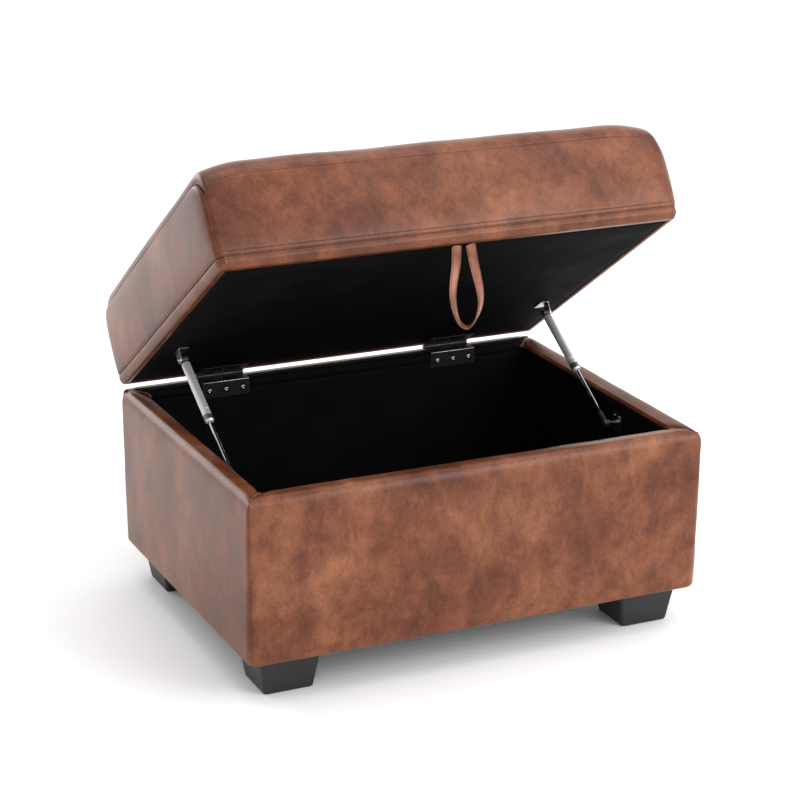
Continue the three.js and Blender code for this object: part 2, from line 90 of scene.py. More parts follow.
def smooth(t):
    t = min(1.0, max(0.0, t))
    return t * t * (3 - 2 * t)


def mix(a, b, t):
    return a + (b - a) * t


# ---- meshes
def new_object(name, data):
    thing = bpy.data.objects.new(name, data)
    bpy.context.scene.collection.objects.link(thing)
    return thing


def make_piece(name, vertices, faces, material, body, replaced=()):
    """A smooth mesh piece that rides on a body, and may stand for nodes of the CAD."""
    mesh = bpy.data.meshes.new(name)
    mesh.from_pydata([tuple(v) for v in vertices], [], faces)
    mesh.validate()
    mesh.update()
    mesh.polygons.foreach_set("use_smooth", [True] * len(mesh.polygons))
    piece = new_object(name, mesh)
    mesh.materials.append(material)
    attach(piece, body)
    if replaced:
        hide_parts(*replaced)
    return piece


def grid_faces(rows, columns, start=0, closed=False):
    """Quads between rows of vertices. A closed grid joins its last column to its first."""
    faces = []
    for r in range(rows - 1):
        for c in range(columns if closed else columns - 1):
            d = (c + 1) % columns
            low, high = start + r * columns, start + (r + 1) * columns
            faces.append((low + c, low + d, high + d, high + c))
    return faces


def end_caps(count, total):
    """Faces that close both ends of a closed grid."""
    return [tuple(reversed(range(count))), tuple(range(total - count, total))]


def thicken(piece, thickness):
    """Gives a surface its thickness, inwards."""
    solidify = piece.modifiers.new("thickness", "SOLIDIFY")
    solidify.thickness = thickness
    solidify.offset = -1


SEED_STEP = (7.3, 3.1, 5.7)  # sets the patterns of two seeds apart


def undulation(point, size, amount, seed=0):
    """A smooth uneven height at a point, for leather and cloth that are never quite flat."""
    place = Vector(point) / size + Vector([seed * step for step in SEED_STEP])
    return amount * noise.noise(place)


# ---- outlines
# A side of a rounded rectangle runs from the middle of one corner to the middle of the next.
NEAR_CORNER = (0.4, 1.2, 3, 6, 11)  # distances of the closest stations from a corner, in mm


def side_stations(length, corner_steps=5, spacing=14 * MM):
    """Stations along a side: (part of it, share of that part)."""
    near = [d * MM for d in NEAR_CORNER]
    count = max(2, round((length - 2 * near[-1]) / spacing))
    offsets = near + [mix(near[-1], length - near[-1], k / count) for k in range(1, count)]
    offsets += [length - d for d in reversed(near)]
    stations = [("start", k / corner_steps) for k in range(corner_steps)]
    stations += [("straight", 0.0)] + [("straight", d / length) for d in offsets] + [("straight", 1.0)]
    stations += [("end", (k + 1) / corner_steps) for k in range(corner_steps)]
    return stations


def ring_stations(half_x, half_y, corner_steps, spacing):
    """Stations all the way round a rounded rectangle: (side, station)."""
    lengths = (2 * half_x, 2 * half_y) * 2
    return [(s, st) for s in range(4) for st in side_stations(lengths[s], corner_steps, spacing)[:-1]]


def side_point(side, station, half_x, half_y, radii, gap=0.0):
    """A point on one side and the way out of it. Side 0 is the front, then right, back and left."""
    along, out = (half_x, half_y) if side % 2 == 0 else (half_y, half_x)
    kind, share = station
    if kind == "straight":
        a, b, normal = mix(-along + radii[0], along - radii[1], share), out, (0.0, 1.0)
    else:
        radius = radii[0] if kind == "start" else radii[1]
        angle = math.radians(135 - 45 * share if kind == "start" else 90 - 45 * share)
        sign = -1 if kind == "start" else 1
        a = sign * (along - radius) + radius * math.cos(angle)
        b = out - radius + radius * math.sin(angle)
        normal = (math.cos(angle), math.sin(angle))
    if station in (("start", 0.0), ("end", 1.0)):
        a -= math.copysign(gap, a)
    turn = side * math.pi / 2
    cos, sin = math.cos(turn), math.sin(turn)
    point = (a * cos + b * sin, a * sin - b * cos)
    way = (normal[0] * cos + normal[1] * sin, normal[0] * sin - normal[1] * cos)
    return point, way


def arc(cx, cz, radius, from_deg, to_deg, steps):
    """Points along an arc of a circle."""
    angles = [math.radians(mix(from_deg, to_deg, k / steps)) for k in range(steps + 1)]
    return [(cx + radius * math.cos(t), cz + radius * math.sin(t)) for t in angles]


# ---- node materials
def new_material(name):
    material = bpy.data.materials.new(name)
    material.use_nodes = True
    tree = material.node_tree
    shader = tree.nodes["Principled BSDF"]
    coordinates = tree.nodes.new("ShaderNodeTexCoord").outputs["Object"]
    return material, tree, shader, coordinates


def noise_node(tree, coordinates, scale, detail=4.0, roughness=0.55, distortion=0.0, stretch=None):
    if stretch:
        mapping = tree.nodes.new("ShaderNodeMapping")
        mapping.inputs["Scale"].default_value = stretch
        tree.links.new(coordinates, mapping.inputs["Vector"])
        coordinates = mapping.outputs["Vector"]
    node = tree.nodes.new("ShaderNodeTexNoise")
    node.inputs["Scale"].default_value = scale
    node.inputs["Detail"].default_value = detail
    node.inputs["Roughness"].default_value = roughness
    node.inputs["Distortion"].default_value = distortion
    tree.links.new(coordinates, node.inputs["Vector"])
    return node.outputs["Fac"]


def ramp_node(tree, factor, stops):
    node = tree.nodes.new("ShaderNodeValToRGB")
    elements = node.color_ramp.elements
    while len(elements) < len(stops):
        elements.new(0.5)
    for element, (position, colour) in zip(elements, stops):
        element.position = position
        element.color = (*colour, 1)
    tree.links.new(factor, node.inputs["Fac"])
    return node.outputs["Color"]


def multiply_colours(tree, share, first, second):
    node = tree.nodes.new("ShaderNodeMix")
    node.data_type = "RGBA"
    node.blend_type = "MULTIPLY"
    node.inputs[0].default_value = share
    first_socket, second_socket, result = node.inputs[6], node.inputs[7], node.outputs[2]
    tree.links.new(first, first_socket)
    tree.links.new(second, second_socket)
    return result


def value_range(tree, factor, low, high, from_low=0.3, from_high=0.7):
    node = tree.nodes.new("ShaderNodeMapRange")
    node.inputs["From Min"].default_value = from_low
    node.inputs["From Max"].default_value = from_high
    node.inputs["To Min"].default_value = low
    node.inputs["To Max"].default_value = high
    tree.links.new(factor, node.inputs["Value"])
    return node.outputs["Result"]


def bump_node(tree, height, strength, distance, before=None):
    node = tree.nodes.new("ShaderNodeBump")
    node.inputs["Strength"].default_value = strength
    node.inputs["Distance"].default_value = distance
    tree.links.new(height, node.inputs["Height"])
    if before:
        tree.links.new(before, node.inputs["Normal"])
    return node.outputs["Normal"]


def connect(tree, shader, colour, roughness, normal):
    """Links a material's three varying properties to its shader."""
    tree.links.new(colour, shader.inputs["Base Color"])
    tree.links.new(roughness, shader.inputs["Roughness"])
    tree.links.new(normal, shader.inputs["Normal"])


LEATHER_TONES = ((0.090, 0.0250, 0.0105), (0.149, 0.0470, 0.0205), (0.216, 0.0800, 0.0370))
STRAP_SHADE = (1.5, 1.85, 2.5)  # the pull loop's leather is paler
GRAIN_SCALE = 620


def leather_material(name, shade=(1.0, 1.0, 1.0)):
    """Aged brown leather cloth: soft clouds, small rubbed patches, fine dark specks and a fine grain."""
    material, tree, shader, coordinates = new_material(name)
    clouds = noise_node(tree, coordinates, 6, 5, 0.55, 0.4)
    patches = noise_node(tree, coordinates, 24, 9, 0.76, 0.3, (1, 1, 0.75))
    streaks = noise_node(tree, coordinates, 55, 5, 0.62, 0.3, (1, 1, 0.25))
    specks = noise_node(tree, coordinates, 210, 4, 0.7)
    dark, middle, light = (tuple(c * s for c, s in zip(tone, shade)) for tone in LEATHER_TONES)
    colour = ramp_node(tree, clouds, [(0.32, dark), (0.5, middle), (0.68, light)])
    layers = (
        (patches, 0.9, [(0.38, (0.68, 0.60, 0.56)), (0.48, (0.94, 0.92, 0.91)), (0.61, (1.36, 1.38, 1.4))]),
        (streaks, 0.35, [(0.36, (0.82, 0.78, 0.76)), (0.5, (1, 1, 1)), (0.64, (1.14, 1.15, 1.16))]),
        (specks, 0.4, [(0.36, (0.66, 0.62, 0.6)), (0.5, (1, 1, 1)), (0.66, (1.18, 1.17, 1.16))]),
    )
    for pattern, share, stops in layers:
        colour = multiply_colours(tree, share, colour, ramp_node(tree, pattern, stops))
    shader.inputs["Specular IOR Level"].default_value = 0.18
    shader.inputs["Coat Weight"].default_value = 0.14
    shader.inputs["Coat Roughness"].default_value = 0.24
    grain = tree.nodes.new("ShaderNodeTexVoronoi")
    grain.feature = "SMOOTH_F1"
    grain.inputs["Scale"].default_value = GRAIN_SCALE
    tree.links.new(coordinates, grain.inputs["Vector"])
    creases = noise_node(tree, coordinates, 80, 5, 0.65, 1.2)
    coarse = bump_node(tree, creases, 0.2, 0.6 * MM)
    fine = bump_node(tree, grain.outputs["Distance"], 0.2, 0.25 * MM, coarse)
    connect(tree, shader, colour, value_range(tree, patches, 0.29, 0.42), fine)
    return material


def fabric_material(name, colour, fineness=900.0, roughness=0.85, sheen=0.15, specular=0.4):
    """Woven cloth: two sets of fine ribs at right angles, slightly uneven in tone."""
    material, tree, shader, coordinates = new_material(name)
    ribs = []
    for direction in ("X", "Y"):
        wave = tree.nodes.new("ShaderNodeTexWave")
        wave.bands_direction = direction
        wave.inputs["Scale"].default_value = fineness / 6
        wave.inputs["Distortion"].default_value = 0.3
        tree.links.new(coordinates, wave.inputs["Vector"])
        ribs.append(wave.outputs["Fac"])
    weave = tree.nodes.new("ShaderNodeMath")
    weave.operation = "ADD"
    tree.links.new(ribs[0], weave.inputs[0])
    tree.links.new(ribs[1], weave.inputs[1])
    tone = noise_node(tree, coordinates, 14, 4)
    low, high = (tuple(c * k for c in colour) for k in (0.7, 1.5))
    shade = ramp_node(tree, tone, [(0.3, low), (0.7, high)])
    gloss = value_range(tree, tone, roughness - 0.1, roughness + 0.08)
    connect(tree, shader, shade, gloss, bump_node(tree, weave.outputs["Value"], 0.25, 0.2 * MM))
    shader.inputs["Sheen Weight"].default_value = sheen
    shader.inputs["Specular IOR Level"].default_value = specular
    return material


def solid_material(name, colour, roughness, metallic=0.0, grain=400.0, bump=0.08, spread=0.12):
    """Moulded plastic, painted steel or bare metal, with a slight unevenness in tone and gloss."""
    material, tree, shader, coordinates = new_material(name)
    tone = noise_node(tree, coordinates, 30, 4)
    low, high = (tuple(c * k for c in colour) for k in (1 - spread, 1 + spread))
    shade = ramp_node(tree, tone, [(0.3, low), (0.7, high)])
    texture = noise_node(tree, coordinates, grain, 3, 0.6)
    gloss = value_range(tree, texture, roughness - 0.06, roughness + 0.08)
    connect(tree, shader, shade, gloss, bump_node(tree, texture, bump, 0.2 * MM))
    shader.inputs["Metallic"].default_value = metallic
    return material


def wood_material(name):
    """Plywood faces with a long, low-contrast grain."""
    material, tree, shader, coordinates = new_material(name)
    figure = noise_node(tree, coordinates, 18, 6, 0.6, 1.5, (1, 1, 9))
    colours = [(0.3, (0.36, 0.22, 0.11)), (0.55, (0.5, 0.33, 0.18)), (0.75, (0.58, 0.41, 0.25))]
    gloss = value_range(tree, figure, 0.6, 0.8)
    connect(tree, shader, ramp_node(tree, figure, colours), gloss, bump_node(tree, figure, 0.15, 0.3 * MM))
    return material


LEATHER_LOOK = leather_material("aged_leather")
STRAP_LOOK = leather_material("strap_leather", STRAP_SHADE)
THREAD_LOOK = fabric_material("dark_thread", (0.03, 0.011, 0.007), 2500.0, 0.5)
PALE_THREAD_LOOK = fabric_material("tan_thread", (0.4, 0.2, 0.1), 2500.0, 0.5)
LINING_LOOK = fabric_material("black_lining", (0.003, 0.0025, 0.003), 900.0, 0.8, 0.0, 0.06)
DUST_LOOK = fabric_material("dust_cover_cloth", (0.012, 0.012, 0.013), 700.0)
WOOD_LOOK = wood_material("plywood")
FOOT_LOOK = solid_material("black_foot", (0.006, 0.0062, 0.007), 0.5, grain=260.0, bump=0.12)
BLACK_LOOK = solid_material("black_paint", (0.01, 0.01, 0.011), 0.3, grain=600.0)
SOCKET_LOOK = solid_material("black_nylon", (0.02, 0.02, 0.021), 0.38, grain=500.0)
TUBE_LOOK = solid_material("grey_steel", (0.6, 0.6, 0.61), 0.34, 0.5, 900.0, 0.0, spread=0.04)
ROD_LOOK = solid_material("bright_rod", (0.62, 0.63, 0.64), 0.14, 1.0, 500.0, 0.0)
CRIMP_LOOK = solid_material("crimped_steel", (0.16, 0.16, 0.165), 0.4, 0.8, 900.0, 0.05)
ZINC_LOOK = solid_material("zinc_plate", (0.5, 0.5, 0.5), 0.28, 1.0, 300.0, 0.1)


# ---- leather panels and stitching
def leather_panel(name, vertices, faces, body, replaced):
    """A panel of leather over its foam."""
    piece = make_piece(name, vertices, faces, LEATHER_LOOK, body, replaced)
    thicken(piece, LEATHER)


STITCH_SIDES = 6
STITCH_FROM, STITCH_TO = 0.17, 0.83  # a stitch shows for this part of the pitch
# (share of a stitch's length, share of its width)
STITCH_SHAPE = ((0.0, 0.0), (0.12, 0.75), (0.5, 1.0), (0.88, 0.75), (1.0, 0.0))


def stitch_row(name, path, body, pitch, width, place=BOX_PLACE, material=THREAD_LOOK):
    """A row of thread stitches along a path of (point, way out) pairs."""
    vertices, faces = [], []
    sides = STITCH_SIDES
    lengths = [0.0]
    for (a, _), (b, _) in zip(path, path[1:]):
        lengths.append(lengths[-1] + (Vector(b) - Vector(a)).length)

    def on_path(distance):
        k = 1
        while k < len(lengths) - 1 and lengths[k] < distance:
            k += 1
        share = (distance - lengths[k - 1]) / max(lengths[k] - lengths[k - 1], 1e-9)
        (a, out_a), (b, out_b) = path[k - 1], path[k]
        return Vector(a).lerp(Vector(b), share), Vector(out_a).lerp(Vector(out_b), share).normalized()

    for s in range(int(lengths[-1] / pitch)):
        start, out = on_path((s + STITCH_FROM) * pitch)
        end, _ = on_path((s + STITCH_TO) * pitch)
        along = end - start
        across = along.normalized().cross(out)
        first = len(vertices)
        for share, size in STITCH_SHAPE:
            middle = start + along * share
            if size == 0.0:
                vertices.append(middle)
                continue
            for k in range(sides):
                turn = 2 * math.pi * k / sides
                ring = across * math.cos(turn) + out * math.sin(turn)
                vertices.append(middle + ring * size * width / 2)
        for k in range(sides):
            d = (k + 1) % sides
            faces.append((first, first + 1 + d, first + 1 + k))
            for ring in range(2):
                low, high = first + 1 + ring * sides, first + 1 + (ring + 1) * sides
                faces.append((low + k, low + d, high + d, high + k))
            faces.append((first + 1 + 2 * sides + k, first + 1 + 2 * sides + d, first + 1 + 3 * sides))
    vertices = [place @ v for v in vertices]
    make_piece(name, vertices, faces, material, body)


# ---- the box's leather and padding
RIM_ROLL = 16 * MM
BACK_RIM_ROLL = 9 * MM
RIM_FALL = 3.5 * MM  # how far the padded rim slopes down towards the inside
RIM_ROLL_DROP = 1.6  # the padded outer edge rolls further down than in
RIM_INNER_ROLL = 6 * MM
HEM = 16 * MM  # a cover is turned in this far under the box
SOLE_ROLL = 7 * MM
RIM_LIP = 9 * MM  # a cover ends this far down inside the rim
FACE_ROWS = 14
COVER_BULGE = 1.6 * MM
INNER_CORNER = 9 * MM  # radius of the rim's inner corners
SMALLEST_RADIUS = 0.6 * MM
MITRE_GAP = 0.25 * MM
MITRE_PINCH = 2.2 * MM  # how deep the thread pulls the rim down at its mitres
MITRE_PINCH_REACH = 8 * MM
SIDES = ("front", "right", "back", "left")


def cover_section(wall, roll, fall):
    """(inset, height, share of the face's bulge) from the hem under the box to the lip inside it."""
    low = BOX_BOTTOM
    rows = [(HEM, low, 0), (SOLE_ROLL, low, 0)]
    rows += [(x, z, 0) for x, z in arc(SOLE_ROLL, low + SOLE_ROLL, SOLE_ROLL, 270, 180, 6)[1:]]
    drop = roll * RIM_ROLL_DROP
    face_low, face_high = low + SOLE_ROLL, RIM - drop
    for k in range(1, FACE_ROWS):
        share = k / FACE_ROWS
        rows.append((0.0, mix(face_low, face_high, share), math.sin(math.pi * k / FACE_ROWS) ** 0.7))
    rows += [(x, RIM - drop + z * RIM_ROLL_DROP, 0) for x, z in arc(roll, 0, roll, 180, 90, 12)]
    inner = wall - RIM_INNER_ROLL
    for k in range(1, 5):
        share = k / 5
        rows.append((mix(roll, inner, share), RIM - fall * share**1.5, 0))
    rows += [(x, z - fall, 0) for x, z in arc(inner, RIM - RIM_INNER_ROLL, RIM_INNER_ROLL, 90, 0, 5)]
    rows += [(wall, RIM - RIM_LIP - fall, 0)]
    return rows


def box_corner_radius(height, at_back):
    """The box's corners are tight at the rim and softer towards the floor, more so at the back."""
    share = min(1, max(0, (height - BOX_BOTTOM) / (RIM - BOX_BOTTOM)))
    bottom, top = (28 * MM, 19 * MM) if at_back else (20 * MM, 6 * MM)
    return mix(bottom, top, share**0.8)


def box_cover(side):
    """The leather panel of one side: hem, face, padded rim and lip, mitred to its neighbours."""
    name = f"{SIDES[side]}_leather"
    along_x, is_back = side % 2 == 0, SIDES[side] == "back"
    wall, other = (END_WALL, SIDE_WALL) if along_x else (SIDE_WALL, END_WALL)
    roll = BACK_RIM_ROLL if is_back else RIM_ROLL
    section = cover_section(wall, roll, 0.0 if is_back else RIM_FALL)
    length = 2 * (HALF_W if along_x else HALF_D)
    ends_at_back = ((False, False), (False, True), (True, True), (True, False))[side]
    stations = side_stations(length)
    vertices = []
    mitre = []
    for inset, height, bulge in section:
        other_inset = inset * other / wall if inset > roll else inset
        inset_x, inset_y = (other_inset, inset) if along_x else (inset, other_inset)
        smallest = max(INNER_CORNER * smooth((inset - roll) / (wall - roll)), SMALLEST_RADIUS)
        radii = [max(box_corner_radius(height, at_back) - inset, smallest) for at_back in ends_at_back]
        for station in stations:
            half_x, half_y = HALF_W - inset_x, HALF_D - inset_y
            (x, y), way = side_point(side, station, half_x, half_y, radii, MITRE_GAP)
            kind, share = station
            from_end = min(share, 1 - share) * length if kind == "straight" else 0.0
            along = math.sin(math.pi * share) ** 0.5 if kind == "straight" and 0 < share < 1 else 0.0
            point = Vector((x, y + BOX_MID_Y, height))
            out = COVER_BULGE * bulge * along + undulation(point, 0.11, 1.1 * MM, 1) * bulge
            out += undulation(point, 0.035, 0.35 * MM, 2) * (1 if BOX_BOTTOM < height < RIM else 0)
            if inset >= roll * 0.4 and height > RIM - 2 * roll:
                pinch = MITRE_PINCH * math.exp(-((from_end / MITRE_PINCH_REACH) ** 2))
                point.z += undulation(point, 0.06, 0.9 * MM, 3) * (0 if is_back else 1) - pinch
            vertices.append(point + Vector((*way, 0)) * out)
        mitre.append(vertices[-1])
    faces = grid_faces(len(section), len(stations))
    replaced = (f"{SIDES[side]}_cover", f"{SIDES[side]}_foam")
    leather_panel(name, vertices, faces, "box", replaced)
    rim_part = [p for (inset, height, _), p in zip(section, mitre) if height > RIM - RIM_ROLL * 0.6]
    upward = [(p + Vector((0, 0, 0.1 * MM)), Vector((0, 0, 1))) for p in rim_part]
    stitch_row(f"{name}_mitre_thread", upward, "box", 4.4 * MM, 1.4 * MM, BOX_PLACE, PALE_THREAD_LOOK)


for side_number in range(4):
    box_cover(side_number)


# ---- lining, dust cover and a black cloth of painted shade over the back rim
TUB_CORNER = 9 * MM
FLOOR_RINGS = (0.9, 0.75, 0.55, 0.35, 0.15)  # shares of the floor's size


def box_lining():
    """A black tub: four walls with soft corners and a floor, in one cloth skin."""
    half_x = HALF_W - SIDE_WALL - 0.4 * MM
    half_y = HALF_D - END_WALL - 0.4 * MM
    top, low = RIM - RIM_LIP - 1 * MM, FLOOR_LINING
    heights = [mix(top, low + 4 * MM, k / 16) for k in range(17)] + [low + 1.2 * MM, low]
    stations = ring_stations(half_x, half_y, 3, 22 * MM)
    vertices = []
    for height in heights:
        inset = 4 * MM if height == low else 1.2 * MM if height < low + 2 * MM else 0.0
        for side, station in stations:
            (x, y), way = side_point(side, station, half_x - inset, half_y - inset, (TUB_CORNER, TUB_CORNER))
            point = Vector((x, y + BOX_MID_Y, height))
            ripple = -abs(undulation(point, 0.09, 2.2 * MM, 5))
            ripple *= smooth((top - 12 * MM - height) / (30 * MM))
            ripple *= 1 if height > low + 6 * MM else 0
            vertices.append(point + Vector((*way, 0)) * ripple)
    count = len(stations)
    faces = grid_faces(len(heights), count, 0, True)
    ring = (len(heights) - 1) * count
    previous = ring
    for shrink in FLOOR_RINGS:
        start = len(vertices)
        for k in range(count):
            edge = vertices[ring + k]
            point = Vector((edge.x * shrink, BOX_MID_Y + (edge.y - BOX_MID_Y) * shrink, low))
            point.z += abs(undulation(point, 0.12, 2.0 * MM, 6))
            vertices.append(point)
        for k in range(count):
            d = (k + 1) % count
            faces.append((previous + k, previous + d, start + d, start + k))
        previous = start
    vertices.append(Vector((0, BOX_MID_Y, low)))
    faces += [(previous + k, previous + (k + 1) % count, len(vertices) - 1) for k in range(count)]
    replaced = ("front_lining", "back_lining", "left_lining", "right_lining", "floor_lining")
    lining = make_piece("box_lining", vertices, faces, LINING_LOOK, "box", replaced)
    thicken(lining, FABRIC)


DUST_COVER_SAG = 2.5 * MM


def dust_cover():
    """Thin black cloth stapled under the box, a little slack between its edges."""
    low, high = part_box("dust_cover")
    columns, rows = 33, 25
    vertices = []
    for r in range(rows):
        for c in range(columns):
            u, v = c / (columns - 1), r / (rows - 1)
            sag = DUST_COVER_SAG * math.sin(math.pi * u) * math.sin(math.pi * v)
            point = Vector((mix(low.x, high.x, u), mix(low.y, high.y, v), low.z + 0.6 * MM - sag))
            inside = min(u, 1 - u, v, 1 - v) > 0
            point.z += undulation(point, 0.05, 1.0 * MM, 7) if inside else 0
            vertices.append(point)
    faces = [tuple(reversed(face)) for face in grid_faces(rows, columns)]
    replaced = ("dust_cover",)
    cover = make_piece("dust_cover_cloth", vertices, faces, DUST_LOOK, "box", replaced)
    thicken(cover, 0.4 * MM)


RIM_SHADE_CLOTH_DOWN = 16 * MM  # how far the black cloth of painted shade over the back rim goes down, and in
RIM_SHADE_CLOTH_IN = 24 * MM
RIM_SHADE_CLOTH_BEND = 6.4 * MM


def back_rim_cloth():
    """A black cloth drawn up over the back wall's rim, under the hinges: painted shade where the open lid
    shadows the back rim.
    """
    inner_y = HALF_D + BOX_MID_Y - END_WALL
    edge = RIM_SHADE_CLOTH_BEND
    section = [(-0.5 * MM, RIM - RIM_SHADE_CLOTH_DOWN), (-0.5 * MM, RIM - 11 * MM)]
    section += [(edge - 0.3 * MM - c, z) for c, z in arc(0, RIM - RIM_INNER_ROLL, edge, 0, 90, 6)]
    section += [(mix(edge, RIM_SHADE_CLOTH_IN, k / 4), RIM + 0.4 * MM) for k in range(1, 5)]
    inner_x = HALF_W - SIDE_WALL - 1 * MM
    columns = 45
    vertices = []
    for inset, z in section:
        half = inner_x + max(0.0, inset) * SIDE_WALL / END_WALL
        for c in range(columns):
            x = mix(-half, half, c / (columns - 1))
            wave = undulation((x, inset, z), 0.05, 0.6 * MM, 17)
            wave *= 1 if inset > 20 * MM else 0
            vertices.append(Vector((x, inner_y + inset + wave, z)))
    faces = grid_faces(len(section), columns)
    # This cloth is painted shade: a black sheet laid where the back rim lies in the lid's shadow.
    cloth = make_piece("back_rim_cloth", vertices, faces, LINING_LOOK, "box")
    thicken(cloth, 0.4 * MM)


box_lining()
dust_cover()
back_rim_cloth()


# ---- the lid's cushion
STITCH_HEIGHTS = (1.4, 7.4)  # the two rows of topstitching, above the band's seam, in mm
FRONT_HEIGHTS = (0, 0.7, 1.4, 2.1, 3.4, 5, 6.6, 7.4, 8.2, 9.6, 12, 17, 25, 35, 46, 58, 70, 82, 94, 104, 112)


STITCH_GROOVE = 0.7 * MM
FRONT_OUT, FRONT_BULGE = 5 * MM, 3.6 * MM  # the front stands out over the band, and swells
BACK_OUT, BACK_BULGE = 1 * MM, 3 * MM
BACK_LOWER = 5 * MM  # the top is this much lower at the back
CROWN = 3 * MM


def stitch_groove(height):
    """How deep the thread pulls the leather in, at a height above the band's seam."""
    return sum(STITCH_GROOVE * math.exp(-(((height - row) / 0.9) ** 2)) for row in STITCH_HEIGHTS)


def lid_profile():
    """(y, z, way out) up the front of the lid, over its top and down its back."""
    points = []
    face_high = LID_TOP - FRONT_ROLL
    for height in FRONT_HEIGHTS:
        z = BAND_TOP + height * MM
        share = (z - BAND_TOP) / (face_high - BAND_TOP)
        out = FRONT_OUT + FRONT_BULGE * math.sin(math.pi * share) ** 0.8
        out -= 1.4 * MM * math.exp(-((height / 7) ** 4)) + stitch_groove(height)
        points.append((LID_FRONT - out, z))
    centre_y = LID_FRONT - FRONT_OUT + FRONT_ROLL
    points += arc(centre_y, face_high, FRONT_ROLL, 180, 90, 18)
    back_centre = LID_BACK + BACK_OUT - BACK_ROLL
    back_top = LID_TOP - BACK_LOWER
    for k in range(1, 30):
        share = k / 30
        z = mix(LID_TOP, back_top, smooth(share)) + CROWN * math.sin(math.pi * share)
        points.append((mix(centre_y, back_centre, share), z))
    points += arc(back_centre, back_top - BACK_ROLL, BACK_ROLL, 90, 0, 12)
    for k in range(1, 12):
        z = mix(back_top - BACK_ROLL, BAND_TOP, k / 11)
        points.append((LID_BACK + BACK_OUT + BACK_BULGE * math.sin(math.pi * k / 11), z))
    return points


PROFILE = lid_profile()


FRONT_RAMP, BACK_RAMP = 85 * MM, 130 * MM  # how far from its ends the top starts to fall
DROOP_FROM, DROOP_OVER = 90 * MM, 85 * MM  # heights between which the sides take up the fall
MID_DEPTH = (LID_FRONT + LID_BACK) / 2


def lid_top_at(x, y, z):
    """A point of the profile, carried to x: the top falls and the front draws in towards the ends."""
    edge = LID_HALF_W - abs(x)
    behind = smooth((y - LID_FRONT - 15 * MM) / (135 * MM))
    ramp, power = mix(FRONT_RAMP, BACK_RAMP, behind), mix(1.8, 1.5, behind)
    fall = mix(END_DROOP, END_DROOP + 4 * MM, behind) * max(0, 1 - edge / ramp) ** power
    over = max(0.0, 1 - edge / END_ROLL)
    fall += END_ROLL_DROP * (1 - math.sqrt(1 - over * over))
    z_drop = fall * smooth((z - DROOP_FROM) / DROOP_OVER)
    upright = smooth((abs(y - MID_DEPTH) - 0.25) / 0.05)
    turn = math.radians(45) * max(0.0, 1 - edge / LID_CORNER) * upright
    y_in = -math.copysign(LID_CORNER * (1 - math.cos(turn)), y - MID_DEPTH)
    straight = LID_HALF_W - LID_CORNER
    around = straight + LID_CORNER * math.sin(turn)
    x_in = math.copysign(mix(abs(x), around, upright), x) if abs(x) > straight else x
    return Vector((x_in, y + y_in, z - z_drop))


NEAR_LID_END = (0, 0.3, 0.9, 1.8, 3, 4.5, 6.5, 9, 12, 16, 22, 30, 40)  # in mm
MIDDLE_COLUMNS = 44


def lid_columns():
    """Positions across the lid, closer together at its ends."""
    near = [d * MM for d in NEAR_LID_END]
    inner = LID_HALF_W - near[-1]
    middle = [mix(-inner, inner, k / MIDDLE_COLUMNS) for k in range(1, MIDDLE_COLUMNS)]
    return [-LID_HALF_W + d for d in near] + middle + [LID_HALF_W - d for d in reversed(near)]


END_GROOVE, END_GROOVE_REACH = 1.2 * MM, 2.2 * MM
SEAM_GROOVE, SEAM_GROOVE_REACH = 0.5 * MM, 1.6 * MM
PUCKER_REACH = 14 * MM
FREE_FROM_EDGE = 30 * MM


def lid_surface(columns, rows, seam_rows_at, on_top):
    """The surface through these rows of the profile, drawn in a little along its seams."""
    points = [[lid_top_at(x, *PROFILE[r]) for x in columns] for r in rows]
    result = []
    for i, row in enumerate(points):
        for j, point in enumerate(row):
            up = points[min(i + 1, len(rows) - 1)][j] - points[max(i - 1, 0)][j]
            across = row[min(j + 1, len(row) - 1)] - row[max(j - 1, 0)]
            normal = across.cross(up).normalized()
            from_end = LID_HALF_W - abs(columns[j])
            from_seam = min((point - points[k][j]).length for k in seam_rows_at)
            groove = END_GROOVE * math.exp(-((from_end / END_GROOVE_REACH) ** 2)) if on_top else 0.0
            groove += SEAM_GROOVE * math.exp(-((from_seam / SEAM_GROOVE_REACH) ** 2))
            soft = undulation(point, 0.12, 1.8 * MM, 8) + undulation(point, 0.04, 0.5 * MM, 9)
            from_edge = min(from_seam, from_end)
            pucker = undulation(point, 0.012, 0.5 * MM, 10) * math.exp(-from_edge / PUCKER_REACH)
            free = smooth(from_edge / FREE_FROM_EDGE)
            result.append(point + normal * (soft * free + pucker * free - groove))
    return result


def lid_wrap():
    """Front boxing, top panel and back boxing, which follow one profile from end to end."""
    columns = lid_columns()
    front = [k for k, (y, z) in enumerate(PROFILE) if y < -0.3 and z <= TOP_SEAM]
    back = [k for k, (y, z) in enumerate(PROFILE) if y > -0.3 and z <= TOP_SEAM]
    top = list(range(front[-1], back[0] + 1))
    panels = (
        ("lid_front_leather", front, ("lid_front_boxing",)),
        ("lid_top_leather", top, ("lid_top_panel", "lid_foam")),
        ("lid_back_leather", back, ("lid_back_boxing",)),
    )
    for name, rows, replaced in panels:
        vertices = [LID_PLACE @ v for v in lid_surface(columns, rows, (0, len(rows) - 1), rows is top)]
        leather_panel(name, vertices, grid_faces(len(rows), len(columns)), "lid", replaced)


def along_curve(points, shares):
    """Points at these shares of a polyline's length."""
    lengths = [0.0]
    for a, b in zip(points, points[1:]):
        lengths.append(lengths[-1] + (b - a).length)
    found = []
    k = 1
    for share in shares:
        while k < len(points) - 1 and lengths[k] < share * lengths[-1]:
            k += 1
        part = (share * lengths[-1] - lengths[k - 1]) / max(lengths[k] - lengths[k - 1], 1e-9)
        found.append(points[k - 1].lerp(points[k], min(1.0, part)))
    return found


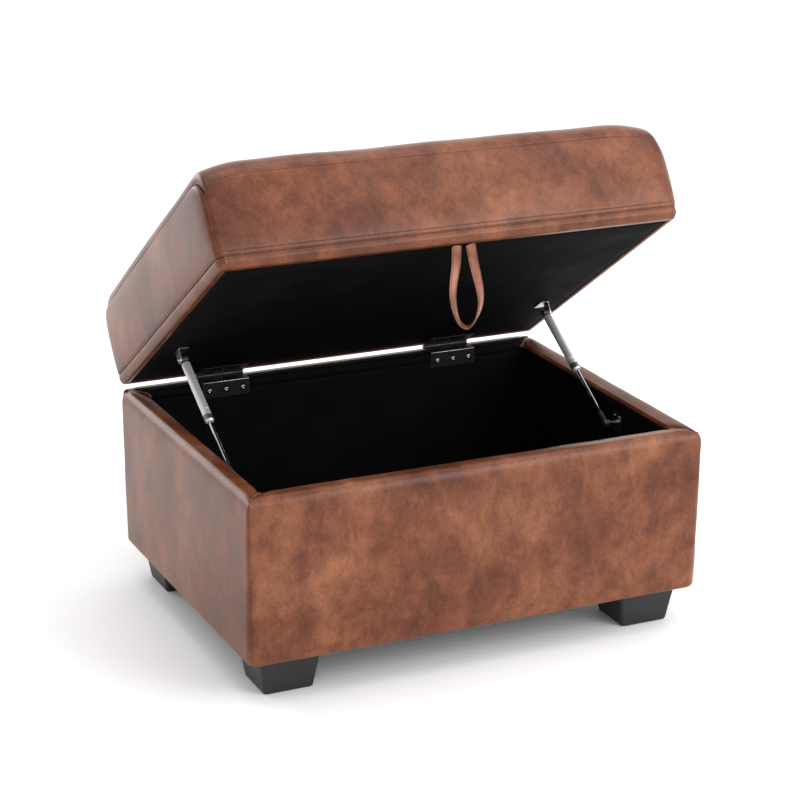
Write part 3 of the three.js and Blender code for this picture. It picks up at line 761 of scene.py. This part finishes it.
def eased(count):
    """Shares from 0 to 1, closer together at both ends."""
    return [mix(k / count, smooth(k / count), 0.75) for k in range(count + 1)]


END_SWELL, END_SWELL_REACH = 5.5 * MM, 15 * MM
END_TURN = 7 * MM  # the panel's edge follows the lid's upright corner this far in
END_SEAM = 0.9 * MM


def lid_end(name, sign, replaced):
    """The boxing panel at one end of the lid: edged by the profile, and full in the middle."""
    edge = [lid_top_at(sign * LID_HALF_W, y, z) for y, z in PROFILE]
    front_top, back_top = LID_TOP - 0.3 * FRONT_ROLL, LID_TOP - BACK_LOWER - 0.3 * BACK_ROLL
    front = max(k for k, (y, z) in enumerate(PROFILE) if y < -0.3 and z < front_top)
    back = min(k for k, (y, z) in enumerate(PROFILE) if y > -0.1 and z < back_top)
    across, upward = eased(72), eased(34)
    bottom_side = along_curve([edge[0], edge[-1]], across)
    top_side = along_curve(edge[front:back + 1], across)
    front_side = along_curve(edge[:front + 1], upward)
    back_side = along_curve(list(reversed(edge[back:])), upward)
    rows = []
    for v, f, b in zip(upward, front_side, back_side):
        row = []
        for u, low, high in zip(across, bottom_side, top_side):
            low_mix = edge[0] * (1 - u) + edge[-1] * u
            high_mix = edge[front] * (1 - u) + edge[back] * u
            corners = low_mix * (1 - v) + high_mix * v
            row.append(low * (1 - v) + high * v + f * (1 - u) + b * u - corners)
        rows.append(row)
    vertices = []
    for row in rows:
        for c, spot in enumerate(row):
            ways = [(spot - end).length for end in (row[0], row[-1], rows[0][c], rows[-1][c])]
            fill = math.prod(1 - math.exp(-way / END_SWELL_REACH) for way in ways)
            turned_in = sum(max(0.0, 1 - way / END_TURN) ** 2 for way in (ways[0], ways[1], ways[3]))
            seam = sum(math.exp(-((way / SEAM_GROOVE_REACH) ** 2)) for way in ways[2:])
            swell = END_SWELL * fill + undulation(spot, 0.1, 1.3 * MM, 12) * fill - END_SEAM * seam
            base = mix(LID_HALF_W, abs(spot.x), min(1.0, turned_in))
            vertices.append(Vector((sign * (base + swell), spot.y, spot.z)))
    faces = grid_faces(len(upward), len(across))
    if sign < 0:
        faces = [tuple(reversed(face)) for face in faces]
    vertices = [LID_PLACE @ v for v in vertices]
    leather_panel(name, vertices, faces, "lid", replaced)
    out = Vector((sign, 0, 0))
    path = [(p + Vector((sign * 0.9 * MM, 0, -2.8 * MM)), out) for p in top_side[2:-2]]
    stitch_row(f"{name}_thread", path, "lid", 4.6 * MM, 0.9 * MM, LID_PLACE)


lid_wrap()
lid_end("lid_left_leather", -1, ("lid_left_boxing",))
lid_end("lid_right_leather", 1, ("lid_right_boxing",))


# ---- the lid's band, stitching and lining
BAND_ROLL = 7 * MM
BAND_ROLL_HEIGHT = 1.9  # the band's roll is this many times as high as it is deep
BAND_FLANGE = 15 * MM
BAND_FRONT_FULLNESS, BAND_FULLNESS = 4.8 * MM, 0.4 * MM
BAND_JOINT = 13 * MM  # from the lid's left end


def lid_band():
    """The leather strip round the lid's lower edge, turned in under it."""
    half_y = (LID_BACK - LID_FRONT) / 2
    section = [(BAND_FLANGE, LID_BOTTOM)]
    curve = arc(BAND_ROLL, BAND_ROLL, BAND_ROLL, 270, 180, 14)
    section += [(x, LID_BOTTOM + z * BAND_ROLL_HEIGHT) for x, z in curve]
    section += [(0.3 * MM, BAND_TOP - 2.6 * MM), (0.9 * MM, BAND_TOP - 1.2 * MM), (2.2 * MM, BAND_TOP)]
    stations = ring_stations(LID_HALF_W, half_y, 4, 16 * MM)
    vertices = []
    for inset, z in section:
        share = (z - LID_BOTTOM) / (BAND_TOP - LID_BOTTOM)
        for side, station in stations:
            fullness = BAND_FRONT_FULLNESS if side == 0 else BAND_FULLNESS
            out = fullness * smooth(share * 2)
            kind, _ = station
            radius = max(LID_CORNER - inset, 0.8 * MM)
            (x, y), way = side_point(side, station, LID_HALF_W - inset, half_y - inset, (radius, radius))
            ends = 1 if kind == "straight" else 0.5
            point = Vector((x, y + MID_DEPTH, z)) + Vector((*way, 0)) * out * ends
            point += Vector((*way, 0)) * undulation(point, 0.03, 0.5 * MM, 14)
            vertices.append(LID_PLACE @ point)
    faces = grid_faces(len(section), len(stations), 0, True)
    band = make_piece("lid_band_leather", vertices, faces, LEATHER_LOOK, "lid", ("lid_band",))
    thicken(band, LEATHER)


def lid_topstitch():
    """Two rows of thread above the band's seam in front, one at each end, and the band's own joint."""
    between_ends = lid_columns()[6:-6]
    for number, height in enumerate(STITCH_HEIGHTS):
        y, z = PROFILE[FRONT_HEIGHTS.index(height)]
        way = Vector((0, -1, 0))
        path = [(lid_top_at(x, y - 0.1 * MM, z), way) for x in between_ends]
        stitch_row(f"lid_front_topstitch_{number + 1}", path, "lid", 6 * MM, 1.6 * MM, LID_PLACE)
    joint_x = -LID_HALF_W + BAND_JOINT
    rise = [mix(BAND_TOP - 1.5 * MM, LID_BOTTOM + 4 * MM, k / 6) for k in range(7)]
    path = [(Vector((joint_x, LID_FRONT - 4.9 * MM, z)), Vector((0, -1, 0))) for z in rise]
    stitch_row("lid_band_joint_thread", path, "lid", 3.6 * MM, 1.1 * MM, LID_PLACE, PALE_THREAD_LOOK)
    for name, sign in (("left", -1), ("right", 1)):
        path = []
        for k in range(41):
            y = mix(LID_FRONT + 8 * MM, LID_BACK - 8 * MM, k / 40)
            x = sign * (LID_HALF_W + 2.1 * MM)
            path.append((Vector((x, y, BAND_TOP + 3 * MM)), Vector((sign, 0, 0))))
        stitch_row(f"lid_{name}_topstitch", path, "lid", 4.6 * MM, 0.8 * MM, LID_PLACE)


def lid_lining():
    """Black cloth over the lid's underside, slightly wavy between its stapled edges."""
    half_x = LID_HALF_W - BAND_FLANGE + 2 * MM
    low_y, high_y = LID_FRONT + BAND_FLANGE - 2 * MM, LID_BACK - BAND_FLANGE + 2 * MM
    columns, rows = 49, 37
    vertices = []
    for r in range(rows):
        for c in range(columns):
            u, v = c / (columns - 1), r / (rows - 1)
            free = min(1, 12 * min(u, 1 - u, v, 1 - v))
            point = Vector((mix(-half_x, half_x, u), mix(low_y, high_y, v), LID_BOTTOM + 0.9 * MM))
            point.z += abs(undulation(point, 0.08, 1.4 * MM, 15)) * free - 0.6 * MM * free
            vertices.append(LID_PLACE @ point)
    faces = [tuple(reversed(face)) for face in grid_faces(rows, columns)]
    replaced = ("lid_lining",)
    cloth = make_piece("lid_lining_cloth", vertices, faces, LINING_LOOK, "lid", replaced)
    thicken(cloth, 0.5 * MM)


lid_band()
lid_topstitch()
lid_lining()


# ---- pull loop
# The strap's middle line from end to end, (x, z) in mm from its seam.
STRAP_ROUTE = (
    (-12, 0), (-12.8, -32), (-16, -55), (-17.8, -77), (-16.4, -94), (-12, -113), (-4, -129), (8, -136),
    (20, -129), (28, -114), (31.5, -97), (30, -78), (24.5, -55), (18, -30), (12, 0),
)
STRAP_WIDTH, STRAP_THICKNESS = 17 * MM, 3.2 * MM
STRAP_SECTION_POINTS = 20
STRAP_STITCH_INSET = 2.2 * MM


def spline(knots, steps):
    """Points on a smooth curve through the knots."""
    points = []
    for k in range(len(knots) - 1):
        a, b, c, d = (knots[min(max(k + n, 0), len(knots) - 1)] for n in (-1, 0, 1, 2))
        for step in range(steps):
            t = step / steps
            slope, bend = (c - a) * t, (2 * a - 5 * b + 4 * c - d) * t**2
            turn = (3 * b - a - 3 * c + d) * t**3
            points.append(0.5 * (2 * b + slope + bend + turn))
    return points + [knots[-1]]


def pull_loop():
    """A flat stitched strap: both ends flat to the front, half a turn in its length."""
    pivot = Vector(joints["pull_loop_swing"]["pos_m"])
    path = spline([Vector((x * MM, 0, z * MM)) for x, z in STRAP_ROUTE], 6)
    width, thick = STRAP_WIDTH, STRAP_THICKNESS
    section = []
    for k in range(STRAP_SECTION_POINTS):
        turn = 2 * math.pi * k / STRAP_SECTION_POINTS
        cos, sin = math.cos(turn), math.sin(turn)
        w = math.copysign(abs(cos) ** 0.35, cos) * width / 2
        section.append((w, math.copysign(abs(sin) ** 0.6, sin) * thick / 2))
    vertices = []
    edges = ([], [])
    back = Vector((0, 1, 0))
    for i, point in enumerate(path):
        t = i / (len(path) - 1)
        tangent = (path[min(i + 1, len(path) - 1)] - path[max(i - 1, 0)]).normalized()
        twist = (math.pi / 2) * math.copysign(abs(1 - 2 * t) ** 0.6, 0.5 - t)
        turned = Matrix.Rotation(twist, 3, tangent)
        across = turned @ back
        flat = turned @ tangent.cross(back)
        for w, h in section:
            crown = 1 - 0.25 * (abs(w) > width * 0.3)
            vertices.append(pivot + point + across * w + flat * h * crown)
        for edge, sign in zip(edges, (-1, 1)):
            for face in (1, -1):
                spot = pivot + point + across * sign * (width / 2 - STRAP_STITCH_INSET)
                spot += flat * face * thick * 0.48
                edge.append((spot, flat * face, face))
    count = len(section)
    faces = grid_faces(len(path), count, 0, True)
    faces += end_caps(count, len(vertices))
    strap = make_piece("pull_strap", vertices, faces, STRAP_LOOK, "pull_loop", ("pull_loop",))
    strap.modifiers.new("round", "SUBSURF").levels = 1
    for name, edge in zip(("inner", "outer"), edges):
        for side, face in (("front", 1), ("back", -1)):
            row = [(spot, out) for spot, out, which in edge if which == face]
            stitch_row(f"pull_strap_{name}_{side}_thread", row, "pull_loop", 4.4 * MM, 1.4 * MM)


pull_loop()


# ---- feet
FOOT_BOTTOM_HALF = 42 * MM
FOOT_CORNER = 5.5 * MM


def foot(name):
    """A tapered block with rounded edges, moulded in black."""
    low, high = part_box(name)
    centre = (low + high) / 2
    top_half = (high.x - low.x) / 2
    bottom_half = FOOT_BOTTOM_HALF
    height = high.z - low.z
    levels = [(0, 3.2), (0.5 * MM, 1.6), (1.6 * MM, 0.5), (3.4 * MM, 0.0)]
    levels += [(mix(3.4 * MM, height - 2 * MM, k / 5), 0.0) for k in range(1, 6)]
    levels += [(height - 0.6 * MM, 0.4), (height, 1.2)]
    stations = ring_stations(bottom_half, bottom_half, 5, 20 * MM)
    vertices = []
    for z, inset in levels:
        half = mix(bottom_half, top_half, z / height) - inset * MM
        for side, station in stations:
            (x, y), _ = side_point(side, station, half, half, (FOOT_CORNER, FOOT_CORNER))
            vertices.append(Vector((centre.x + x, centre.y + y, z)))
    count = len(stations)
    faces = grid_faces(len(levels), count, 0, True)
    faces += end_caps(count, len(vertices))
    make_piece(f"{name}_block", vertices, faces, FOOT_LOOK, "box", (name,))


for corner in ("front_left", "front_right", "back_left", "back_right"):
    foot(f"{corner}_foot")


# ---- screws
# A screw's section, (radius, height) in mm: its recess, its domed head and the washer under it.
SCREW_SECTION = ((0, 0.5), (0.9, 0.5), (1.1, 1.3), (2.0, 1.6), (2.9, 1.2), (3.3, 0.4), (3.3, 0), (4.6, 0),
                 (4.6, -0.3))
SCREW_SIDES = 18
TURNED_SIDES = 24


def screws(name, places, way, body, material, place=BOX_PLACE, size=1.0):
    """Screws with domed heads at these places, facing one way."""
    profile = SCREW_SECTION
    out = Vector(way).normalized()
    across = out.orthogonal().normalized()
    other = out.cross(across)
    sides = SCREW_SIDES
    vertices, faces = [], []
    for spot in places:
        first = len(vertices)
        vertices.append(Vector(spot) + out * profile[0][1] * size * MM)
        for radius, height in profile[1:]:
            for k in range(sides):
                turn = 2 * math.pi * k / sides
                ring = across * math.cos(turn) + other * math.sin(turn)
                vertices.append(Vector(spot) + ring * radius * size * MM + out * height * size * MM)
        for k in range(sides):
            faces.append((first, first + 1 + k, first + 1 + (k + 1) % sides))
        faces += [tuple(reversed(f)) for f in grid_faces(len(profile) - 1, sides, first + 1, True)]
    vertices = [place @ v for v in vertices]
    make_piece(name, vertices, faces, material, body)


def hinge_screws():
    for name in ("left", "right"):
        low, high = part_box(f"{name}_hinge_box_leaf")
        middle = (low.x + high.x) / 2
        across = [middle + d * MM for d in (-31, 0, 31)]
        box_spots = [(x, low.y, low.z + 13 * MM) for x in across]
        screws(f"{name}_hinge_box_screws", box_spots, (0, -1, 0), "box", ZINC_LOOK, size=1.3)
        lid_spots = [(x, -24 * MM, 1.3 * MM) for x in across]
        screws(f"{name}_hinge_lid_screws", lid_spots, (0, 0, -1), "lid", BLACK_LOOK, LID_PLACE)


def bracket_screws():
    for name, sign in (("left", 1), ("right", -1)):
        low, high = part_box(f"{name}_strut_box_bracket")
        x = low.x + 1.5 * MM if sign > 0 else high.x - 1.5 * MM
        middle = (low.y + high.y) / 2
        spots = [(x, middle + d * MM, high.z - 5 * MM) for d in (-8, 8)]
        screws(f"{name}_box_bracket_screws", spots, (sign, 0, 0), "box", ZINC_LOOK, BOX_PLACE, 0.8)


def turned(name, start, way, profile, body, material):
    """A turned piece along a line: profile holds (distance along it, radius)."""
    across = way.orthogonal().normalized()
    other = way.cross(across)
    sides = TURNED_SIDES
    vertices = []
    for distance, radius in profile:
        for k in range(sides):
            turn = 2 * math.pi * k / sides
            ring = across * math.cos(turn) + other * math.sin(turn)
            vertices.append(start + way * distance + ring * radius)
    faces = grid_faces(len(profile), sides, 0, True)
    faces += end_caps(sides, len(vertices))
    make_piece(name, vertices, faces, material, body)


def strut_collars():
    """The crimped end of each strut's tube: a knurled band between two bright beads."""
    for name in ("left", "right"):
        pivot = Vector(joints[f"{name}_tube_pivot"]["pos_m"])
        down = -Vector(joints[f"{name}_rod_slide"]["axis"]).normalized()
        outer = TUBE_RADIUS + 0.15 * MM
        for bead, at in (("upper", 15), ("lower", 3.5)):
            start = pivot + down * (TUBE_END - at * MM)
            profile = [(0, outer - 0.1 * MM), (0.4 * MM, outer + 0.5 * MM), (1.2 * MM, outer + 0.5 * MM),
                       (1.6 * MM, outer - 0.1 * MM)]
            turned(f"{name}_tube_{bead}_bead", start, down, profile, f"{name}_tube", ZINC_LOOK)
        grooves = [(0, outer)]
        for k in range(6):
            grooves += [((k + 0.3) * 1.6 * MM, outer + 0.1 * MM), ((k + 0.8) * 1.6 * MM, outer - 0.05 * MM)]
        grooves.append((10 * MM, outer))
        start = pivot + down * (TUBE_END - 13.4 * MM)
        turned(f"{name}_tube_crimp", start, down, grooves, f"{name}_tube", CRIMP_LOOK)


def hinge_bend_highlights():
    """A bright zinc strip along the rounded edge where a hinge's leaf bends down inside the box: a painted
    highlight for the shine on the black leaf's bend.
    """
    for name in ("left", "right"):
        low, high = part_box(f"{name}_hinge_box_leaf")
        radius = 0.9 * MM
        leaf_top = RIM + 1.8 * MM
        start = Vector((low.x + 1 * MM, low.y + radius - 0.2 * MM, leaf_top - radius + 0.2 * MM))
        length = high.x - low.x - 2 * MM
        profile = [(0, radius * 0.6), (1 * MM, radius), (length - 1 * MM, radius), (length, radius * 0.6)]
        # The zinc finish on this strip paints a highlight where the black leaf bends.
        turned(f"{name}_hinge_bend", start, Vector((1, 0, 0)), profile, "box", ZINC_LOOK)


hinge_screws()
bracket_screws()
strut_collars()
hinge_bend_highlights()


# ---- finishes of the carried-over nodes
FINISHES = (("_board", WOOD_LOOK), ("_block", WOOD_LOOK), ("_leaf", BLACK_LOOK), ("_socket", SOCKET_LOOK),
            ("_tube", TUBE_LOOK), ("_rod", ROD_LOOK))


def finish_of(name):
    return next((look for ending, look in FINISHES if name.endswith(ending)), ZINC_LOOK)


for node_name, node in frame["nodes"].items():
    if not node.hide_render:
        node.data.materials.clear()
        node.data.materials.append(finish_of(node_name))


# ---- floor, light and camera
FLOOR_HALF = 14.0
SKY_STRENGTH = 1.46


def studio():
    """A pale floor, and a white sky that is dimmer overhead and on the left."""
    half = FLOOR_HALF
    corners = [(-half, -half, 0), (half, -half, 0), (half, half, 0), (-half, half, 0)]
    mesh = bpy.data.meshes.new("floor")
    mesh.from_pydata(corners, [], [(0, 1, 2, 3)])
    new_object("floor", mesh)
    material, tree, shader, coordinates = new_material("pale_floor")
    tone = noise_node(tree, coordinates, 3, 3)
    colours = [(0.3, (0.95, 0.95, 0.95)), (0.7, (0.97, 0.97, 0.97))]
    tree.links.new(ramp_node(tree, tone, colours), shader.inputs["Base Color"])
    shader.inputs["Roughness"].default_value = 0.7
    mesh.materials.append(material)
    world = bpy.data.worlds.new("studio")
    world.use_nodes = True
    tree = world.node_tree
    split = tree.nodes.new("ShaderNodeSeparateXYZ")
    tree.links.new(tree.nodes.new("ShaderNodeTexCoord").outputs["Generated"], split.inputs["Vector"])
    sky = ramp_node(tree, split.outputs["Z"], [(0.35, (1, 1, 1)), (0.95, (0.62, 0.62, 0.62))])
    left_side = value_range(tree, split.outputs["X"], 0.5, 1.0, -0.95, -0.2)
    sky = multiply_colours(tree, 1.0, sky, left_side)
    tree.links.new(sky, tree.nodes["Background"].inputs["Color"])
    tree.nodes["Background"].inputs["Strength"].default_value = SKY_STRENGTH
    bpy.context.scene.world = world


def softbox(name, place, target, size, power):
    """A rectangular light, invisible to the camera."""
    light = bpy.data.lights.new(name, "AREA")
    light.shape = "RECTANGLE"
    light.size, light.size_y = size
    light.energy = power
    lamp = new_object(name, light)
    lamp.visible_camera = False
    lamp.location = place
    lamp.rotation_euler = (Vector(target) - Vector(place)).to_track_quat("-Z", "Y").to_euler()


def camera():
    """The photograph's viewing angle, looking down on the front left corner."""
    lens = bpy.data.cameras.new("camera")
    lens.lens = 107.9
    lens.sensor_width = 36
    eye = new_object("camera", lens)
    eye.location = (-1.6017, BOX_MID_Y - 3.4724, 1.6173)
    eye.rotation_euler = (math.radians(90 - 18.23), math.radians(-0.08), math.radians(-24.65))
    bpy.context.scene.camera = eye


studio()
softbox("key", (1.7, -3.0, 2.0), (0, 0, 0.3), (1.8, 2.0), 52)
softbox("top", (0.0, 0.3, 3.2), (0, 0, 0.3), (2.2, 1.6), 20)
softbox("edge", (1.2, -0.9, 2.6), (0, 0, 0.4), (1.2, 0.8), 6)
softbox("behind", (-1.6, 3.4, 1.3), (0, 0, 0.4), (2.2, 1.6), 38)
softbox("right", (3.0, -0.8, 1.6), (0, 0, 0.4), (1.4, 1.8), 15)
camera()
bpy.context.scene.view_settings.view_transform = "Standard"
